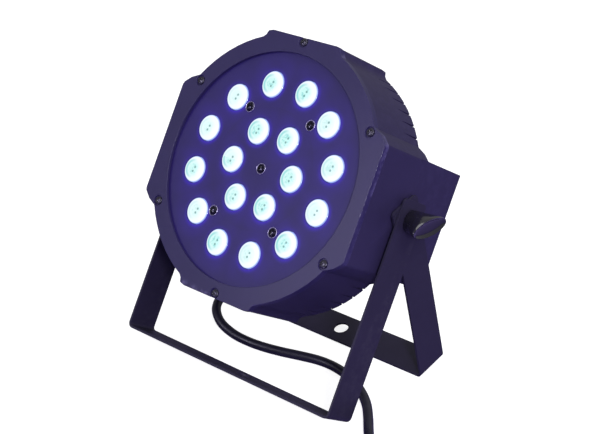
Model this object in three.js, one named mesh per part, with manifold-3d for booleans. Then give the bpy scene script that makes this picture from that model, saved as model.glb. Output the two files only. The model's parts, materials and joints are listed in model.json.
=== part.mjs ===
// LED par can light on a double floor bracket, in millimetres.
// Row frame: +Z up, the lamp faces -Y, +X is on the right of somebody facing the lamp.
// The origin is on the floor, under the middle of the lamp.
import * as THREE from "three";
import { mergeVertices } from "three/addons/utils/BufferGeometryUtils.js";
import Module from "manifold-3d";

const wasm = await Module();
wasm.setup();

// Driving dimensions
const FACE_HALF = 110; // from the face's middle to its four flats
const FACE_RADIUS = 111; // round stretches between the flats
const PIVOT_DEPTH = 57; // tilt axis, behind the face
const BODY_DEPTH = 112; // face to rear cover
const DRUM_DEPTH = 65; // face to the drum's back wall
const BOX_HALF_HEIGHT = 49; // rear box, above and below the tilt axis
const WALL = 3;
const GROOVE_DEPTH = 1.7; // at the drum's back, from the bezel's round stretches
const GROOVE_WIDTH = 1.5;
const GAP = 0.3; // between pieces that touch
const HEAD_TILT = THREE.MathUtils.degToRad(-30);
const FRONT_LEAN = THREE.MathUtils.degToRad(-30);
const REAR_LEAN = THREE.MathUtils.degToRad(15);
const STRIP_WIDTH = 31;
const STRIP_THICK = 2;
const FRONT_REACH = 166.5; // tilt axis to the outer face of the front crossbar
const PIVOT_HEIGHT = FRONT_REACH * Math.cos(FRONT_LEAN) - (STRIP_WIDTH / 2) * Math.sin(FRONT_LEAN);
const REAR_REACH = (PIVOT_HEIGHT - (STRIP_WIDTH / 2) * Math.sin(REAR_LEAN)) / Math.cos(REAR_LEAN);
const PIVOT_Y = 16; // centres the lamp over the origin

// Face
const BEZEL_DEPTH = 6;
const LIP_RADIUS = 96.5;
const LIP_DEPTH = 3;
const PANEL_RADIUS = 101;
const PANEL_THICK = 2.3;
const LENS_RADIUS = 11;
const LENS_RINGS = [
  { radius: 70, count: 12, first: 15 },
  { radius: 32.4, count: 6, first: 0 },
];
const BEZEL_SCREW_CIRCLE = 106.4;
const PANEL_SCREWS = [[33, 44.7], [-33, 44.7], [-33, -44.7], [33, -44.7], [0, 0]];
const SCREW_RADIUS = 1.5;
const SCREW_HEAD_RADIUS = 3.4;
const SCREW_HEAD_HEIGHT = 1.3;
const SCREW_HOLE_RADIUS = 1.9;
const SCREW_SEAT_DEPTH = 1.4; // round seats in the bezel's face
const SCREW_SEAT_RADIUS = SCREW_HEAD_RADIUS + 1.2;

// Inside
const BOARD_DEPTH = 18;
const BOARD_THICK = 1.6;
const BOARD_RADIUS = 90;
const SINK_DEPTH = BOARD_DEPTH + BOARD_THICK + GAP;
const SINK_THICK = 3;
const FIN_HEIGHT = 14;
const FIN_PITCH = 16;
const FINS_EACH_SIDE = 4.5;
const SUPPLY_DEPTH = 66;

// Rear cover, as places across (x) and up (z) from the tilt axis
const COVER_DEPTH = BODY_DEPTH - WALL;
const BUTTON_PITCH = 14;
const BUTTON_RADIUS = 3.6;
const BUTTON_Z = -2;
const DISPLAY_Z = 20;
const DISPLAY_WIDTH = 40;
const DISPLAY_HEIGHT = 16;
const SOCKETS = { dmx_input_socket: 48, dmx_output_socket: 82 };
const SOCKET_RADIUS = 11.5;
const GLAND_X = -75;
const GLAND_Z = -30;
const GLAND_LENGTH = 24;

// Stack on the tilt axis, from the middle outwards
const SIDE_FACE = 109.6;
const WASHER_THICK = 1.2;
const REAR_ARM_INNER = SIDE_FACE + WASHER_THICK + 2 * GAP;
const FRONT_ARM_INNER = REAR_ARM_INNER + STRIP_THICK + GAP;
const KNOB_INNER = FRONT_ARM_INNER + STRIP_THICK + GAP;
const STUD_RADIUS = 4;
const STUD_HOLE_RADIUS = 4.5;
const ARM_TOP = 16; // tilt axis to the arms' tops
const ARM_CORNER = 4;
const STRIP_BEND = 5; // outer radius of the strip's bends
const KNOB_BARREL_RADIUS = 9.5;
const KNOB_BARREL_LENGTH = 12;
const WING_REACH = 15;
const WING_RADIUS = 5.5;
const WING_THICK = 13;
const KNOB_WING_ANGLE = THREE.MathUtils.degToRad(-63);
const CLAMP_HOLE_RADIUS = 6.5;
const CLAMP_HOLE_X = 12;

// Power cord: points are across, back and up from the floor under the tilt axis
const CORD_RADIUS = 4.1;
const CORD_SIDES = 8;
const COIL_RADIUS = 42; // middle of the turns
const COIL_HALF_WIDTH = 8.4;
const COIL_HEIGHT = 16.8;
const COIL_CENTRE = [157.6, -162.3];
const PLUG_ANGLE = THREE.MathUtils.degToRad(-83.4); // where the cord leaves the coil, from its centre
const PLUG_RADIUS = 18;
const PLUG_HEIGHT = PLUG_RADIUS + GAP;
const PLUG_LENGTH = 72;
const PIN_SPREAD = 9.5;
const PIN_RADIUS = 2.4;
const PIN_LENGTH = 20;
const CORD_ROUTE = [
  [-75, 54.2, 86],
  [-75, 62, 81.5],
  [-75.2, 69.7, 75],
  [-75.6, 74.8, 66.2],
  [-76.2, 76.5, 56],
  [-77, 74.8, 45.6],
  [-78, 69.7, 36.4],
  [-79.2, 62, 29.6],
  [-80.6, 51.5, 26],
  [-82.6, 36, 25],
  [-84.6, 18.4, 25],
  [-85.6, 1, 24.6],
  [-84, -14, 22.4],
  [-78.5, -25, 17.8],
  [-67, -31.6, 11.6],
  [-50.5, -33.2, 6.6],
  [-32.6, -32.2, 4.6],
  [-15.6, -29.8, 4.2],
  [1.4, -25.6, 4.2],
  [18.4, -20, 4.2],
  [34.4, -15.6, 4.2],
  [49.4, -14.8, 4.2],
  [65.4, -17.6, 4.2],
  [81.4, -23.8, 4.2],
  [96.4, -32.4, 4.2],
  [110.9, -43.6, 4.2],
  [124.8, -58, 4.2],
  [138.2, -73.4, 4.2],
  [153.4, -89.7, 4.2],
  [169.9, -107.6, 4.2],
  [183.4, -122.3, 4.2],
  [191.5, -131.1, 4.2],
];

const PAINT = { color: 0x2b2833, roughness: 0.55, metalness: 0.3 };
const FACE_PAINT = { color: 0x2d2947, roughness: 0.5, metalness: 0.2 };
const STEEL = { color: 0x55525e, roughness: 0.35, metalness: 0.9 };
const LENS = { color: 0xd8f6ff, roughness: 0.1, metalness: 0, emissive: 0x66ccff };
const BOARD = { color: 0x1d5a38, roughness: 0.6, metalness: 0 };
const ALUMINIUM = { color: 0xb8babd, roughness: 0.4, metalness: 0.9 };
const PLASTIC = { color: 0x15141a, roughness: 0.35, metalness: 0 };
const RUBBER = { color: 0x111015, roughness: 0.6, metalness: 0 };
const GLASS = { color: 0x2a0d12, roughness: 0.1, metalness: 0 };

// Closed meshes in and out of the library that joins and cuts them
function toSolid(geometry) {
  const plain = geometry.clone();
  plain.deleteAttribute("normal");
  plain.deleteAttribute("uv");
  const merged = mergeVertices(plain, 1e-3);
  const vertProperties = merged.attributes.position.array;
  const triVerts = new Uint32Array(merged.index.array);
  return new wasm.Manifold(new wasm.Mesh({ numProp: 3, vertProperties, triVerts }));
}

function toGeometry(solid) {
  const mesh = solid.getMesh();
  const geometry = new THREE.BufferGeometry();
  geometry.setAttribute("position", new THREE.BufferAttribute(new Float32Array(mesh.vertProperties), 3));
  geometry.setIndex(new THREE.BufferAttribute(new Uint32Array(mesh.triVerts), 1));
  geometry.computeVertexNormals();
  return geometry;
}

function join(...geometries) {
  return toGeometry(geometries.map(toSolid).reduce((a, b) => a.add(b)));
}

function cut(base, ...tools) {
  return toGeometry([base, ...tools].map(toSolid).reduce((a, b) => a.subtract(b)));
}

function common(a, b) {
  return toGeometry(toSolid(a).intersect(toSolid(b)));
}

// Pieces of the head are built about the tilt axis, with depth counted back from the face
function plate(shape, near, far, curveSegments = 24) {
  const settings = { depth: far - near, bevelEnabled: false, curveSegments };
  const geometry = new THREE.ExtrudeGeometry(shape, settings);
  geometry.rotateX(Math.PI / 2);
  geometry.translate(0, far - PIVOT_DEPTH, 0);
  return geometry;
}

function block(x, z, width, height, near, far) {
  const geometry = new THREE.BoxGeometry(width, far - near, height);
  geometry.translate(x, (near + far) / 2 - PIVOT_DEPTH, z);
  return geometry;
}

function turned(x, z, profile, segments) {
  const points = profile.map(([radius, depth]) => new THREE.Vector2(radius, depth - PIVOT_DEPTH));
  const geometry = new THREE.LatheGeometry(points, segments);
  geometry.translate(x, 0, z);
  return geometry;
}

function rod(x, z, radius, near, far, segments = 16) {
  return turned(x, z, [[0, near], [radius, near], [radius, far], [0, far]], segments);
}

// A rod along X, for what sits on the tilt axis
function axle(radius, inner, outer, segments = 24) {
  const geometry = new THREE.CylinderGeometry(radius, radius, outer - inner, segments);
  geometry.rotateZ(-Math.PI / 2);
  geometry.translate((inner + outer) / 2, 0, 0);
  return geometry;
}

function ringPlaces({ radius, count, first }) {
  return Array.from({ length: count }, (_, i) => {
    const angle = THREE.MathUtils.degToRad(first + (360 * i) / count);
    return [radius * Math.cos(angle), radius * Math.sin(angle)];
  });
}

const lensPlaces = LENS_RINGS.flatMap(ringPlaces);
const bezelScrewPlaces = ringPlaces({ radius: BEZEL_SCREW_CIRCLE, count: 6, first: 30 });

// Face outline: four flats with cut corners, joined by round stretches
function faceShape(inset) {
  const flat = FACE_HALF - inset;
  const radius = FACE_RADIUS - inset;
  const quarter = [
    [flat, 46],
    [flat - 1, 48.6],
    [flat - 7.3, 54.1 - inset / 2],
  ];
  const arcStart = 31.4;
  const arcEnd = 67.6;
  const steps = 8;
  for (let i = 0; i <= steps; i += 1) {
    const angle = THREE.MathUtils.degToRad(arcStart + ((arcEnd - arcStart) * i) / steps);
    quarter.push([radius * Math.cos(angle), radius * Math.sin(angle)]);
  }
  quarter.push([40 - inset / 2, flat - 5], [38.8 - inset / 2, flat - 1.4], [34, flat]);
  const mirrored = quarter.map(([x, y]) => [-x, y]).reverse();
  const upper = [...quarter, ...mirrored];
  const lower = upper.map(([x, y]) => [-x, -y]);
  return new THREE.Shape([...upper, ...lower].map(([x, y]) => new THREE.Vector2(x, y)));
}

function frontBezel() {
  const body = plate(faceShape(0), 0, BEZEL_DEPTH);
  const opening = rod(0, 0, LIP_RADIUS, -1, BEZEL_DEPTH + 1, 60);
  const rebate = rod(0, 0, PANEL_RADIUS + GAP, LIP_DEPTH, BEZEL_DEPTH + 1, 60);
  const seat = rod(0, 0, SCREW_SEAT_RADIUS, -1, SCREW_SEAT_DEPTH, 12);
  const hole = rod(0, 0, SCREW_HOLE_RADIUS, -1, BEZEL_DEPTH + 1, 8);
  const seats = bezelScrewPlaces.map(([x, z]) => seat.clone().translate(x, 0, z));
  const holes = bezelScrewPlaces.map(([x, z]) => hole.clone().translate(x, 0, z));
  return cut(body, opening, rebate, ...seats, ...holes);
}

function frontPanel() {
  const near = LIP_DEPTH + GAP;
  const far = near + PANEL_THICK;
  const windows = lensPlaces.map(([x, z]) => rod(x, z, LENS_RADIUS + 0.5, near - 1, far + 1, 16));
  const holes = PANEL_SCREWS.map(([x, z]) => rod(x, z, SCREW_HOLE_RADIUS, near - 1, far + 1, 8));
  return cut(rod(0, 0, PANEL_RADIUS, near, far, 60), ...windows, ...holes);
}

// Pan-head machine screw with a cross recess; under is the depth of its head's underside
function screw(under, length) {
  const top = under - SCREW_HEAD_HEIGHT;
  const profile = [
    [0, top],
    [SCREW_HEAD_RADIUS, top + 0.5],
    [SCREW_HEAD_RADIUS, under],
    [SCREW_RADIUS, under],
    [SCREW_RADIUS, under + length],
    [0, under + length],
  ];
  const slots = [
    block(0, 0, 3.6, 0.8, top - 1, top + 0.8),
    block(0, 0, 0.8, 3.6, top - 1, top + 0.8),
  ];
  return cut(turned(0, 0, profile, 10), ...slots);
}

// Lens and collimator in one moulding: a low dome in front, a cone down to its diode
function lens() {
  const profile = [
    [0, 2],
    [6, 2.3],
    [LENS_RADIUS, 3.4],
    [LENS_RADIUS, 7],
    [4.5, BOARD_DEPTH - 1.8],
    [0, BOARD_DEPTH - 1.8],
  ];
  return turned(0, 0, profile, 16);
}

function ledBoard() {
  const disc = rod(0, 0, BOARD_RADIUS, BOARD_DEPTH, BOARD_DEPTH + BOARD_THICK, 36);
  const diodes = lensPlaces.map(([x, z]) => block(x, z, 5, 5, BOARD_DEPTH - 1.2, BOARD_DEPTH + 0.5));
  const hole = rod(0, 0, SCREW_HOLE_RADIUS, BOARD_DEPTH - 1, BOARD_DEPTH + 3, 8);
  const holes = PANEL_SCREWS.map(([x, z]) => hole.clone().translate(x, 0, z));
  return cut(join(disc, ...diodes), ...holes);
}

function heatSink() {
  const back = SINK_DEPTH + SINK_THICK;
  const disc = rod(0, 0, BOARD_RADIUS, SINK_DEPTH, back, 36);
  const fins = [];
  for (let i = -FINS_EACH_SIDE; i <= FINS_EACH_SIDE; i += 1) {
    const x = FIN_PITCH * i;
    const length = 2 * Math.sqrt((BOARD_RADIUS - 3) ** 2 - x * x);
    fins.push(block(x, 0, 2.2, length, back - 0.5, back + FIN_HEIGHT));
  }
  const holes = PANEL_SCREWS.map(([x, z]) => rod(x, z, SCREW_HOLE_RADIUS, SINK_DEPTH - 1, back + 1, 8));
  return cut(join(disc, ...fins), ...holes);
}

// Grooves of the drum run back along its round stretches and grow deeper to the rear
function groove(degrees) {
  const outer = FACE_RADIUS + 1;
  const wedge = new THREE.Shape([
    new THREE.Vector2(20 - PIVOT_DEPTH, outer),
    new THREE.Vector2(DRUM_DEPTH + 1 - PIVOT_DEPTH, FACE_RADIUS - GROOVE_DEPTH),
    new THREE.Vector2(DRUM_DEPTH + 1 - PIVOT_DEPTH, outer),
  ]);
  const geometry = new THREE.ExtrudeGeometry(wedge, { depth: GROOVE_WIDTH, bevelEnabled: false });
  geometry.translate(0, 0, -GROOVE_WIDTH / 2);
  const angle = THREE.MathUtils.degToRad(degrees);
  const back = new THREE.Vector3(0, 1, 0);
  const out = new THREE.Vector3(Math.cos(angle), 0, Math.sin(angle));
  geometry.applyMatrix4(new THREE.Matrix4().makeBasis(back, out, back.clone().cross(out)));
  return geometry;
}

function housingShell() {
  const inset = FACE_HALF - SIDE_FACE;
  const front = BEZEL_DEPTH + GAP;
  const box = { width: 2 * SIDE_FACE, height: 2 * BOX_HALF_HEIGHT };
  const outer = join(
    plate(faceShape(inset), front, DRUM_DEPTH),
    block(0, 0, box.width, box.height, DRUM_DEPTH - 10, COVER_DEPTH),
  );
  const cavity = join(
    plate(faceShape(inset + WALL), front - 1, DRUM_DEPTH - WALL),
    block(0, 0, box.width - 2 * WALL, box.height - 2 * WALL, DRUM_DEPTH - 10, COVER_DEPTH + 1),
  );
  const shell = cut(outer, cavity);
  const bosses = bezelScrewPlaces.map(([x, z]) => rod(x, z, 3, front, 24, 8));
  const holes = bezelScrewPlaces.map(([x, z]) => rod(x, z, SCREW_HOLE_RADIUS, front - 1, 25, 8));
  const grooves = [];
  for (const side of [0, 180]) {
    for (let i = 0; i < 6; i += 1) {
      grooves.push(groove(side + 35 + 5.8 * i), groove(side + 180 - 35 - 5.8 * i));
    }
  }
  const axleHole = axle(STUD_HOLE_RADIUS, -SIDE_FACE - 1, SIDE_FACE + 1, 20);
  return cut(join(shell, ...bosses), ...holes, ...grooves, axleHole);
}

function rearCover() {
  const near = COVER_DEPTH + GAP;
  const far = BODY_DEPTH + GAP;
  const body = block(0, 0, 2 * SIDE_FACE, 2 * BOX_HALF_HEIGHT, near, far);
  const openings = [
    block(0, DISPLAY_Z, DISPLAY_WIDTH, DISPLAY_HEIGHT, near - 1, far + 1),
    rod(GLAND_X, GLAND_Z, 6.3, near - 1, far + 1),
  ];
  for (const x of buttonPlaces) {
    openings.push(rod(x, BUTTON_Z, BUTTON_RADIUS + GAP, near - 1, far + 1));
  }
  for (const x of Object.values(SOCKETS)) {
    openings.push(rod(x, 0, SOCKET_RADIUS + GAP, near - 1, far + 1, 24));
  }
  for (let i = 0; i < 6; i += 1) {
    openings.push(block(GLAND_X, 36 - 7 * i, 44, 3, near - 1, far + 1));
  }
  for (const [x, z] of coverScrewPlaces) {
    openings.push(rod(x, z, SCREW_HOLE_RADIUS, near - 1, far + 1, 8));
  }
  return cut(body, ...openings);
}

const buttonPlaces = [-1.5, -0.5, 0.5, 1.5].map((i) => i * BUTTON_PITCH);
const coverScrewPlaces = [[1, 1], [-1, 1], [-1, -1], [1, -1]].map(([x, z]) => [x * 103, z * 42.4]);

function controlBoard() {
  const near = COVER_DEPTH - 12;
  const board = block(0, 8, 68, 50, near, near + BOARD_THICK);
  const switches = buttonPlaces.map((x) => block(x, BUTTON_Z, 6, 6, near + 1, near + 5));
  return join(board, ...switches);
}

function displayModule() {
  const width = DISPLAY_WIDTH - 2 * GAP;
  const height = DISPLAY_HEIGHT - 2 * GAP;
  return block(0, DISPLAY_Z, width, height, COVER_DEPTH - 9.8, BODY_DEPTH - 1.4);
}

// A button's stem reaches in to its switch and a collar keeps it behind the cover
function menuButton() {
  const profile = [
    [0, COVER_DEPTH - 6],
    [2, COVER_DEPTH - 6],
    [2, COVER_DEPTH - 2.4],
    [BUTTON_RADIUS + 1.4, COVER_DEPTH - 2.4],
    [BUTTON_RADIUS + 1.4, COVER_DEPTH - 1],
    [BUTTON_RADIUS, COVER_DEPTH - 1],
    [BUTTON_RADIUS, BODY_DEPTH + 2.2],
    [0, BODY_DEPTH + 2.2],
  ];
  return turned(0, 0, profile, 12);
}

function powerSupplyBoard() {
  const near = SUPPLY_DEPTH;
  const board = block(0, -4, 150, 76, near, near + BOARD_THICK);
  const parts = [
    block(-50, 6, 26, 24, near + 1, near + 21),
    block(-10, 8, 30, 28, near + 1, near + 24),
    rod(28, 14, 9, near + 1, near + 25),
    rod(50, 14, 6, near + 1, near + 21),
    block(30, -22, 40, 10, near + 1, near + 14),
    block(-50, -28, 30, 10, near + 1, near + 12),
  ];
  return join(board, ...parts);
}

function contactPlaces(x) {
  return ringPlaces({ radius: 5.4, count: 3, first: 30 }).map(([dx, dz]) => [x + dx, dz]);
}

// Three-pin panel socket; the input has pins in an open barrel, the output a block with three holes
function dmxSocket(x, hasPins) {
  const face = BODY_DEPTH + 2 * GAP;
  const flange = block(x, 0, 26, 31, face, face + 2.2);
  const barrel = rod(x, 0, SOCKET_RADIUS, face - 22, face + 1, 24);
  const mouth = rod(x, 0, 9.4, face - 13, face + 3, 24);
  const body = join(flange, barrel);
  if (hasPins) {
    const pins = contactPlaces(x).map(([px, pz]) => rod(px, pz, 1.1, face - 14, face - 3, 10));
    return join(cut(body, mouth), ...pins);
  }
  const core = rod(x, 0, 7.6, face - 14, face, 24);
  const holes = contactPlaces(x).map(([px, pz]) => rod(px, pz, 1.3, face - 10, face + 1, 10));
  return cut(join(cut(body, mouth), core), ...holes);
}

function cableGland() {
  const face = BODY_DEPTH + 2 * GAP;
  const end = face + GLAND_LENGTH;
  const profile = [
    [0, COVER_DEPTH - 8],
    [6, COVER_DEPTH - 8],
    [6, face],
    [9.5, face],
    [9.5, face + 4.5],
    [7.6, face + 5.5],
    [7.2, face + 9],
    [4.8, end],
    [0, end],
  ];
  return turned(GLAND_X, GLAND_Z, profile, 16);
}

// U-shaped strip: arms down both sides of the head and a crossbar below it
function bracket(inner, reach) {
  const outer = inner + STRIP_THICK;
  const top = ARM_TOP;
  const bend = STRIP_BEND;
  const section = new THREE.Shape();
  section.moveTo(outer, top);
  section.lineTo(inner, top);
  section.lineTo(inner, -reach + bend);
  section.absarc(inner + STRIP_THICK - bend, -reach + bend, bend - STRIP_THICK, 0, -Math.PI / 2, true);
  section.lineTo(-inner - STRIP_THICK + bend, -reach + STRIP_THICK);
  section.absarc(-outer + bend, -reach + bend, bend - STRIP_THICK, -Math.PI / 2, -Math.PI, true);
  section.lineTo(-inner, top);
  section.lineTo(-outer, top);
  section.lineTo(-outer, -reach + bend);
  section.absarc(-outer + bend, -reach + bend, bend, Math.PI, Math.PI * 1.5, false);
  section.lineTo(outer - bend, -reach);
  section.absarc(outer - bend, -reach + bend, bend, -Math.PI / 2, 0, false);
  const stripSettings = { depth: STRIP_WIDTH, bevelEnabled: false, curveSegments: 4 };
  const strip = new THREE.ExtrudeGeometry(section, stripSettings);
  strip.rotateX(Math.PI / 2);
  strip.translate(0, STRIP_WIDTH / 2, 0);

  const half = STRIP_WIDTH / 2;
  const side = new THREE.Shape();
  side.moveTo(-half, -reach - 1);
  side.lineTo(half, -reach - 1);
  side.lineTo(half, top - ARM_CORNER);
  side.absarc(half - ARM_CORNER, top - ARM_CORNER, ARM_CORNER, 0, Math.PI / 2, false);
  side.lineTo(ARM_CORNER - half, top);
  side.absarc(ARM_CORNER - half, top - ARM_CORNER, ARM_CORNER, Math.PI / 2, Math.PI, false);
  const acrossSettings = { depth: 2 * outer + 2, bevelEnabled: false, curveSegments: 6 };
  const across = new THREE.ExtrudeGeometry(side, acrossSettings);
  across.rotateX(Math.PI / 2);
  across.rotateZ(Math.PI / 2);
  across.translate(-outer - 1, 0, 0);

  const clampHole = new THREE.CylinderGeometry(CLAMP_HOLE_RADIUS, CLAMP_HOLE_RADIUS, 10, 24);
  clampHole.rotateX(Math.PI / 2);
  clampHole.translate(CLAMP_HOLE_X, 0, -reach);
  return cut(common(strip, across), axle(STUD_HOLE_RADIUS, -outer - 1, outer + 1, 16), clampHole);
}

function frictionWasher() {
  const inner = SIDE_FACE + GAP;
  const outer = inner + WASHER_THICK;
  return cut(axle(14, inner, outer, 32), axle(STUD_HOLE_RADIUS, inner - 1, outer + 1, 16));
}

function pivotNut() {
  const inner = SIDE_FACE - WALL - GAP;
  return cut(axle(7.5, inner - 6.5, inner, 6), axle(STUD_RADIUS + GAP, inner - 10, inner + 4, 16));
}

// Wing knob: a round barrel that spreads to two wings, on its threaded stud
function wingKnob() {
  const wing = new THREE.Shape();
  wing.absarc(WING_REACH, 0, WING_RADIUS, -Math.PI / 2, Math.PI / 2, false);
  wing.absarc(-WING_REACH, 0, WING_RADIUS, Math.PI / 2, Math.PI * 1.5, false);
  const wings = new THREE.ExtrudeGeometry(wing, { depth: WING_THICK, bevelEnabled: false, curveSegments: 6 });
  wings.rotateX(Math.PI / 2);
  wings.rotateZ(Math.PI / 2);
  wings.translate(KNOB_INNER + WING_THICK / 2, 0, 0);
  wings.rotateX(KNOB_WING_ANGLE);
  return join(
    axle(KNOB_BARREL_RADIUS, KNOB_INNER, KNOB_INNER + KNOB_BARREL_LENGTH, 24),
    wings,
    axle(STUD_RADIUS, SIDE_FACE - 13, KNOB_INNER + 2, 16),
  );
}

// Cord on the floor; its route and coil are placed from the floor under the tilt axis
function coilPlug(radius, height) {
  const geometry = new THREE.CylinderGeometry(radius, radius, height, 32);
  geometry.rotateX(Math.PI / 2);
  geometry.translate(COIL_CENTRE[0], COIL_CENTRE[1] + PIVOT_Y, height / 2 - 1);
  return geometry;
}

function powerCord() {
  const points = CORD_ROUTE.map(([x, y, z]) => new THREE.Vector3(x, y + PIVOT_Y, z));
  const path = new THREE.CatmullRomCurve3(points, false, "centripetal");
  const section = new THREE.Shape();
  section.absarc(0, 0, CORD_RADIUS, 0, 2 * Math.PI, false);
  const steps = 36;
  const settings = { steps, extrudePath: path, curveSegments: CORD_SIDES / 2 };
  const tube = new THREE.ExtrudeGeometry(section, settings);
  return cut(tube, coilPlug(COIL_RADIUS + COIL_HALF_WIDTH + GAP, 40));
}

function cordCoil() {
  const inner = COIL_RADIUS - COIL_HALF_WIDTH;
  const outer = COIL_RADIUS + COIL_HALF_WIDTH;
  const points = [[inner, 0], [outer, 0], [outer, COIL_HEIGHT], [inner, COIL_HEIGHT], [inner, 0]];
  const geometry = new THREE.LatheGeometry(points.map(([x, y]) => new THREE.Vector2(x, y)), 32);
  geometry.rotateX(Math.PI / 2);
  geometry.translate(COIL_CENTRE[0], COIL_CENTRE[1] + PIVOT_Y, 0);
  return geometry;
}

// Round mains plug with two pins, lying beside the coil
function mainsPlug() {
  const profile = [
    [0, 0],
    [5.2, 0],
    [7, 30],
    [12, 36],
    [15, 44],
    [15.5, 60],
    [PLUG_RADIUS, 64],
    [PLUG_RADIUS, PLUG_LENGTH],
    [0, PLUG_LENGTH],
  ];
  const body = new THREE.LatheGeometry(profile.map(([x, y]) => new THREE.Vector2(x, y)), 24);
  const pins = [-PIN_SPREAD, PIN_SPREAD].map((x) => {
    const pin = new THREE.CylinderGeometry(PIN_RADIUS, PIN_RADIUS, PIN_LENGTH, 12);
    pin.translate(x, PLUG_LENGTH - 1 + PIN_LENGTH / 2, 0);
    return pin;
  });
  const plug = join(body, ...pins);
  plug.rotateZ(PLUG_ANGLE + Math.PI);
  const side = COIL_RADIUS + CORD_RADIUS;
  const across = COIL_CENTRE[0] + side * Math.cos(PLUG_ANGLE);
  const back = COIL_CENTRE[1] + side * Math.sin(PLUG_ANGLE);
  plug.translate(across, back + PIVOT_Y, PLUG_HEIGHT);
  return cut(plug, coilPlug(COIL_RADIUS + COIL_HALF_WIDTH + GAP, 60));
}

function addMesh(parent, name, geometry, finish, x = 0, y = 0, z = 0) {
  const mesh = new THREE.Mesh(geometry, new THREE.MeshStandardMaterial(finish));
  mesh.name = name;
  mesh.position.set(x, y, z);
  parent.add(mesh);
  return mesh;
}

function numbered(name, index) {
  return `${name}_${String(index + 1).padStart(2, "0")}`;
}

function pivotGroup(lean) {
  const group = new THREE.Group();
  group.position.set(0, PIVOT_Y, PIVOT_HEIGHT);
  group.rotation.x = lean;
  return group;
}

function lampHead() {
  const head = pivotGroup(HEAD_TILT);
  addMesh(head, "front_bezel", frontBezel(), FACE_PAINT);
  addMesh(head, "front_panel", frontPanel(), FACE_PAINT);
  bezelScrewPlaces.forEach(([x, z], i) => {
    addMesh(head, numbered("bezel_screw", i), screw(SCREW_SEAT_DEPTH - GAP, 17), STEEL, x, 0, z);
  });
  PANEL_SCREWS.forEach(([x, z], i) => {
    addMesh(head, numbered("panel_screw", i), screw(LIP_DEPTH, 17.5), STEEL, x, 0, z);
  });
  lensPlaces.forEach(([x, z], i) => addMesh(head, numbered("lens", i), lens(), LENS, x, 0, z));
  addMesh(head, "led_board", ledBoard(), BOARD);
  addMesh(head, "heat_sink", heatSink(), ALUMINIUM);
  addMesh(head, "housing_shell", housingShell(), PAINT);
  addMesh(head, "rear_cover", rearCover(), PAINT);
  coverScrewPlaces.forEach(([x, z], i) => {
    const seat = -BODY_DEPTH - 2 * GAP;
    const mesh = addMesh(head, numbered("cover_screw", i), screw(seat, 8), STEEL, x, 0, z);
    mesh.rotation.x = Math.PI;
    mesh.position.y = -2 * PIVOT_DEPTH;
  });
  addMesh(head, "control_board", controlBoard(), BOARD);
  addMesh(head, "display_module", displayModule(), GLASS);
  buttonPlaces.forEach((x, i) => {
    addMesh(head, `menu_button_${i + 1}`, menuButton(), PLASTIC, x, 0, BUTTON_Z);
  });
  addMesh(head, "power_supply_board", powerSupplyBoard(), BOARD);
  addMesh(head, "dmx_input_socket", dmxSocket(SOCKETS.dmx_input_socket, true), PLASTIC);
  addMesh(head, "dmx_output_socket", dmxSocket(SOCKETS.dmx_output_socket, false), PLASTIC);
  addMesh(head, "cable_gland", cableGland(), RUBBER);
  for (const [side, turn] of [["right", 0], ["left", Math.PI]]) {
    const fittings = new THREE.Group();
    fittings.rotation.z = turn;
    addMesh(fittings, `friction_washer_${side}`, frictionWasher(), PLASTIC);
    addMesh(fittings, `pivot_nut_${side}`, pivotNut(), STEEL);
    addMesh(fittings, `wing_knob_${side}`, wingKnob(), PLASTIC);
    head.add(fittings);
  }
  return head;
}

function stand() {
  const group = new THREE.Group();
  const front = pivotGroup(FRONT_LEAN);
  addMesh(front, "front_bracket", bracket(FRONT_ARM_INNER, FRONT_REACH), PAINT);
  const rear = pivotGroup(REAR_LEAN);
  addMesh(rear, "rear_bracket", bracket(REAR_ARM_INNER, REAR_REACH), PAINT);
  group.add(front, rear);
  return group;
}

function lead() {
  const group = new THREE.Group();
  addMesh(group, "power_cord", powerCord(), RUBBER);
  addMesh(group, "cord_coil", cordCoil(), RUBBER);
  addMesh(group, "mains_plug", mainsPlug(), RUBBER);
  return group;
}

const parCan = new THREE.Group();
parCan.add(stand(), lampHead(), lead());

export default parCan;
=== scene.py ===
"""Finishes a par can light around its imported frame: mouldings, lenses, lead, fittings and stage."""

import json
import math

import bpy
from mathutils import Matrix, Vector


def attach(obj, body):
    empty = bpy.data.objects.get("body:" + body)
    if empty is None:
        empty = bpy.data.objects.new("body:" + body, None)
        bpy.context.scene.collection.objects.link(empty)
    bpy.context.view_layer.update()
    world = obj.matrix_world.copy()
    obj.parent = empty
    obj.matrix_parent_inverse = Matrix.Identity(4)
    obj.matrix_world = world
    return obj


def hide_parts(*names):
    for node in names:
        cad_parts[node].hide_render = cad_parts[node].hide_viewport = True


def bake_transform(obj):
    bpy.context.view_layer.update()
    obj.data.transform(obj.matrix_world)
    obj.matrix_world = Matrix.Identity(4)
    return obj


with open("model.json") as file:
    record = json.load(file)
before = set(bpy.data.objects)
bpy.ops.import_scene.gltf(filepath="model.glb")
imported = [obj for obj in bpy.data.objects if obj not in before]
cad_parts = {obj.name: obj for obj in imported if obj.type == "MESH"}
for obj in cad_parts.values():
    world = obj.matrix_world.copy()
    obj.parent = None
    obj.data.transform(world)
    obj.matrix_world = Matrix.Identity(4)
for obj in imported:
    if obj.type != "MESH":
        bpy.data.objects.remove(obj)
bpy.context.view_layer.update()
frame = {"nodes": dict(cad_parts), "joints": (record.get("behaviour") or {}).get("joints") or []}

bl_info = {
    "name": "Par Can Light",
    "version": (1, 0, 0),
    "blender": (4, 5, 0),
    "location": "View3D > Sidebar > Par Can",
    "description": "Builds the finished pieces of an LED par can light around its frame",
    "category": "Add Mesh",
}

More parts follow.
